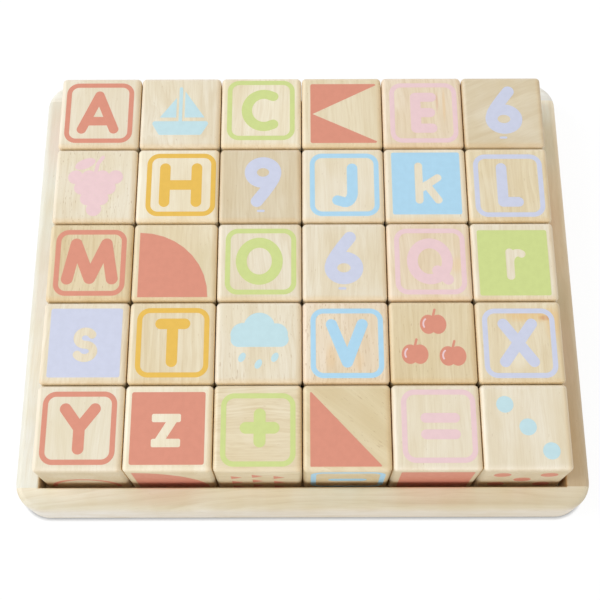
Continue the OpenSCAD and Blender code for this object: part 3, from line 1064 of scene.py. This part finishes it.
# Blocks whose wood stands out. A stain is (right, back, half width, half depth, share, kind)
CUTS = {
    "a": {"streaks": 0.4},
    "b": {"rings": 0.3},
    "c": {"streaks": 0.7, "rings": 0.15},
    "d": {"rings": 0.15, "streaks": 0.5},
    "e": {"streaks": 0.7, "stains": ((11, 4, 1.0, 11, 0.5, "orange"), (7.5, 6, 0.7, 7, 0.5, "knot"))},
    "f": {
        "lean": 66, "roll": 20, "wavy": 4.0, "ring_width": 11.0, "rings": 0.24, "streaks": 0.15,
        "flecks": 0.0,
    },
    "g": {"flecks": 0.55, "fleck_depth": 0.6},
    "h": {"rings": 0.1, "streaks": 0.3, "flecks": 0.0},
    "i": {"streaks": 0.6},
    "j": {"rings": 0.1, "streaks": 0.3},
    "k": {"rings": 0.1, "streaks": 0.3},
    "l": {"flecks": 0.45, "rings": 0.3},
    "m": {"flecks": 0.55, "streaks": 0.9},
    "n": {"streaks": 0.4, "stains": ((15, -4, 8, 18, 0.6, "grey"),)},
    "o": {"streaks": 0.5, "stains": ((16.5, 0, 1.6, 12, 0.7, "orange"),)},
    "q": {"stains": ((13, -2, 3.5, 5, 0.35, "orange"),)},
    "t": {"rings": 0.4, "ring_width": 4.0},
    "u": {"flecks": 0.6, "fleck_depth": 0.6, "streaks": 0.6},
    "v": {
        "flecks": 0.7, "fleck_depth": 0.6, "streaks": 0.9,
        "stains": ((-7, -7, 3, 8, 0.4, "orange"), (6, -9, 3, 6, 0.4, "orange")),
    },
    "w": {
        "flecks": 0.5, "streaks": 0.7,
        "stains": ((-6, -13, 6, 4, 0.35, "grey"), (4, 4, 5, 5, 0.25, "grey")),
    },
    "x": {
        "streaks": 0.7,
        "stains": (
            (-1, -5, 7, 11, 1.0, "pale"), (5, 13, 15, 4.2, 1.0, "orange"), (15.5, 9, 3.8, 10, 1.0, "orange"),
            (12.6, 11.6, 3.4, 1.6, 0.8, "knot"),
        ),
    },
    "y": {"rings": 0.1, "streaks": 0.35, "stains": ((0, 0, 26, 26, 0.4, "grey"),)},
    "z": {"rings": 0.1, "streaks": 0.3},
    "plus": {
        "lean": 90, "roll": 8, "wavy": 1.2, "ring_width": 1.5, "rings": 0.26, "streaks": 0.8, "flecks": 0.15,
    },
    "triangle": {
        "lean": 128, "wavy": 1.6, "ring_width": 9.0, "rings": 0.35, "streaks": 0.2, "flecks": 0.5,
        "stains": ((6, 6, 22, 22, 0.5, "grey"),),
    },
    "equals": {"rings": 0.1, "streaks": 0.35},
    "dots": {"rings": 0.12, "streaks": 0.4},
}
# The tone of each rail, by its setting
RAIL_TONES = {
    "front_rail": "rail", "back_rail": "back_rail", "left_rail": "pale_rail", "right_rail": "brown_rail",
}
# A painted light fade that leaves the colour as it is
SAME = (1.0, 1.0, 1.0)
RAIL_CUT = {
    "roll": 0, "wavy": 0.8, "ring_width": 3.4, "rings": 0.15, "streaks": 0.3, "flecks": 0.1,
    "roughness": 0.46,
}
LONG_RAIL_CUT = {**RAIL_CUT, "lean": 90, "bow": -0.00042, "rings": 0.26}
# The front rail gets painted light at its left end and towards the blocks, the back rail at its right end,
# and the right rail painted shade at the front and painted light at the back
RAIL_CUTS = {
    "front_rail": {**LONG_RAIL_CUT, "inward": (0, 1, 0), "paint_front_light": True, "painted_light_fades": (
        (0, -130, -20, (1.08, 1.13, 1.23), SAME), (1, -111, -102, (0.87, 0.87, 0.85), (1.02, 1.02, 1.02)),
    )},
    "back_rail": {**LONG_RAIL_CUT, "inward": (0, -1, 0), "painted_light_fades": ((0, 40, 125, SAME, (1.06, 1.06, 1.12)),)},
    "left_rail": {**RAIL_CUT, "inward": (1, 0, 0)},
    "right_rail": {**RAIL_CUT, "inward": (-1, 0, 0), "painted_light_fades": (
        (1, -110, 110, (0.82, 0.82, 0.81), (1.18, 1.25, 1.33)), (1, 78, 104, SAME, (1.16, 1.26, 1.45)),
    )},
}
BASE_CUT = {"lean": 90, "wavy": 2.0, "ring_width": 4.5, "rings": 0.5, "flecks": 0.4}
# First seeds of the chance draws for the blocks' wood, the rails' and the base's, and for the prints
BLOCK_SEED, RAIL_SEED, BASE_SEED, PRINT_SEED = 100, 40, 60, 500
# The most that a print on a hidden face is off its middle, in millimetres
PRINT_SLIP = 0.5

# Half the floor's side, and its height, just under the tray
FLOOR_REACH, FLOOR_HEIGHT = 3.0, -0.0002
# Each lamp with its power's setting, its side, its direction in degrees, round from the right and up, and
# its distance from the spot in the tray that it looks at
LAMPS = (
    ("Large soft lamp", "key_power", 1.3, 178, 46, 2.6),
    ("Front fill lamp", "fill_power", 1.9, 272, 26, 2.4),
)
LAMP_AIM = Vector((0, 0, 0.03))
# How far the camera looks down and to the right, and its roll, and its place to the right and to the back
CAMERA_DOWN, CAMERA_YAW, CAMERA_ROLL = (math.radians(angle) for angle in (69.68, -0.19, -0.34))
CAMERA_RIGHT, CAMERA_BACK = -0.00036, -0.1994
SENSOR_WIDTH = 36.0

# Operators


class BLOCKS_OT_finish_blocks(Operator):
    """Give each block its own bare sanded wood"""

    bl_idname = "blocks.finish_blocks"
    bl_label = "Finish the Blocks"

    def execute(self, context):
        wood = context.scene.block_wood
        for place, (name, (tone, _, _)) in enumerate(BLOCKS.items()):
            low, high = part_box("block_" + name)
            cut = {**CUTS.get(name, {}), "open_front": name in FRONTS}
            seed, tone = BLOCK_SEED + place, getattr(wood, tone)
            label, middle = "Wood of block " + name, (low + high) / 2
            give("block_" + name, wood_material(label, tone, seed, wood.grain_strength, cut, middle))
        return {"FINISHED"}


class BLOCKS_OT_finish_rails(Operator):
    """Give the four rails wood whose grain runs along them"""

    bl_idname = "blocks.finish_rails"
    bl_label = "Finish the Rails"

    def execute(self, context):
        wood = context.scene.block_wood
        for place, (name, tone) in enumerate(RAIL_TONES.items()):
            label, tone = "Wood of " + name.replace("_", " "), getattr(wood, tone)
            give(name, wood_material(label, tone, RAIL_SEED + place, wood.grain_strength, RAIL_CUTS[name]))
        return {"FINISHED"}


class BLOCKS_OT_finish_base(Operator):
    """Give the base sheet its plywood veneer"""

    bl_idname = "blocks.finish_base"
    bl_label = "Finish the Base"

    def execute(self, context):
        wood = context.scene.block_wood
        give(BASE, wood_material("Plywood", wood.plywood, BASE_SEED, wood.grain_strength, BASE_CUT))
        return {"FINISHED"}


class BLOCKS_OT_print_blocks(Operator):
    """Print a letter, a digit, a picture or a shape on each face of every block"""

    bl_idname = "blocks.print_blocks"
    bl_label = "Print the Blocks"

    def execute(self, context):
        settings = context.scene.block_prints
        materials = {ink: ink_material("Ink " + ink, getattr(settings, ink)) for ink in INKS}
        for place, (name, (_, top, shift)) in enumerate(BLOCKS.items()):
            draw = random.Random(PRINT_SEED + place)
            low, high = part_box("block_" + name)
            sheet = PrintSheet((low + high) / 2, settings)
            sheet.add("top", face_print(*top, SECOND_INKS[top[2]], settings, NUDGES.get(name, (0, 0))), shift)
            for side, (kind, what, ink) in other_faces(name, place).items():
                aside = (draw.uniform(-PRINT_SLIP, PRINT_SLIP), draw.uniform(-PRINT_SLIP, PRINT_SLIP))
                sheet.add(side, face_print(kind, what, ink, SECOND_INKS[ink], settings), aside)
            piece = sheet.make("prints_" + name, materials)
            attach(piece, "block_" + name)
        return {"FINISHED"}


class BLOCKS_OT_set_stage(Operator):
    """Set the floor, the light and the camera"""

    bl_idname = "blocks.set_stage"
    bl_label = "Set the Stage"

    def execute(self, context):
        stage = context.scene.block_stage
        self.set_floor(stage)
        self.set_light(context, stage)
        for name, power, side, round_tray, rise, distance in LAMPS:
            self.add_lamp(name, getattr(stage, power), side, round_tray, rise, distance)
        self.set_camera(context, stage)
        context.scene.view_settings.view_transform = "Standard"
        return {"FINISHED"}

    def set_floor(self, stage):
        mesh = bpy.data.meshes.new("floor")
        corners = ((-1, -1), (1, -1), (1, 1), (-1, 1))
        verts = [(x * FLOOR_REACH, y * FLOOR_REACH, FLOOR_HEIGHT) for x, y in corners]
        mesh.from_pydata(verts, [], [(0, 1, 2, 3)])
        mesh.materials.append(floor_material(stage.floor_colour))
        floor = add_object("floor", mesh)

    def set_light(self, context, stage):
        world = bpy.data.worlds.new("Soft room")
        sheet = fresh_sheet(world)
        level = sheet.spread(seen_directly(sheet), 0.0, 1.0, stage.sky_strength, 1.0)
        sky = sheet.add("ShaderNodeBackground", {"Color": (1, 1, 1), "Strength": level})
        sheet.add("ShaderNodeOutputWorld", {"Surface": sky.outputs[0]})
        context.scene.world = world

    def add_lamp(self, name, power, side, round_tray, rise, distance):
        """A square soft lamp that looks at the tray from that direction, in degrees."""
        lamp = bpy.data.lights.new(name, "AREA")
        lamp.shape, lamp.size, lamp.size_y = "RECTANGLE", side, side
        lamp.energy = power
        piece = add_object(name, lamp)
        turn, rise = math.radians(round_tray), math.radians(rise)
        ray = Vector((math.cos(turn) * math.cos(rise), math.sin(turn) * math.cos(rise), math.sin(rise)))
        piece.location = LAMP_AIM + distance * ray
        piece.rotation_euler = (-ray).to_track_quat("-Z", "Y").to_euler()

    def set_camera(self, context, stage):
        level, fall = math.cos(CAMERA_DOWN), math.sin(CAMERA_DOWN)
        ahead = Vector((math.sin(CAMERA_YAW) * level, math.cos(CAMERA_YAW) * level, -fall))
        flat_right = Vector((math.cos(CAMERA_YAW), -math.sin(CAMERA_YAW), 0))
        flat_up = flat_right.cross(ahead)
        right = math.cos(CAMERA_ROLL) * flat_right + math.sin(CAMERA_ROLL) * flat_up
        up = math.cos(CAMERA_ROLL) * flat_up - math.sin(CAMERA_ROLL) * flat_right
        lens = bpy.data.cameras.new("Camera")
        lens.lens, lens.sensor_width, lens.sensor_fit = stage.lens, SENSOR_WIDTH, "AUTO"
        camera = add_object("Camera", lens)
        place = Matrix.Translation((CAMERA_RIGHT, CAMERA_BACK, stage.camera_height))
        camera.matrix_world = place @ Matrix((right, up, -ahead)).transposed().to_4x4()
        context.scene.camera = camera


STEPS = (
    BLOCKS_OT_finish_blocks,
    BLOCKS_OT_finish_rails,
    BLOCKS_OT_finish_base,
    BLOCKS_OT_print_blocks,
    BLOCKS_OT_set_stage,
)


class BLOCKS_PT_sidebar(Panel):
    """Steps that finish the tray of blocks, and their settings"""

    bl_idname = "BLOCKS_PT_sidebar"
    bl_label = "Alphabet Blocks"
    bl_space_type = "VIEW_3D"
    bl_region_type = "UI"
    bl_category = "Blocks"

    def draw(self, context):
        for step in STEPS:
            self.layout.operator(step.bl_idname)
        for group in SETTINGS:
            settings = getattr(context.scene, group)
            box = self.layout.box()
            for name in settings.__annotations__:
                box.prop(settings, name)


SETTINGS = {
    "block_prints": BlockPrintSettings,
    "block_wood": BlockWoodSettings,
    "block_stage": BlockStageSettings,
}
CLASSES = (*SETTINGS.values(), *STEPS, BLOCKS_PT_sidebar)


def register():
    for cls in CLASSES:
        bpy.utils.register_class(cls)
    for name, cls in SETTINGS.items():
        setattr(bpy.types.Scene, name, PointerProperty(type=cls))


def unregister():
    for name in SETTINGS:
        delattr(bpy.types.Scene, name)
    for cls in reversed(CLASSES):
        bpy.utils.unregister_class(cls)


def main():
    register()
    bpy.ops.blocks.finish_blocks()
    bpy.ops.blocks.finish_rails()
    bpy.ops.blocks.finish_base()
    bpy.ops.blocks.print_blocks()
    bpy.ops.blocks.set_stage()


if __name__ == "__main__":
    main()
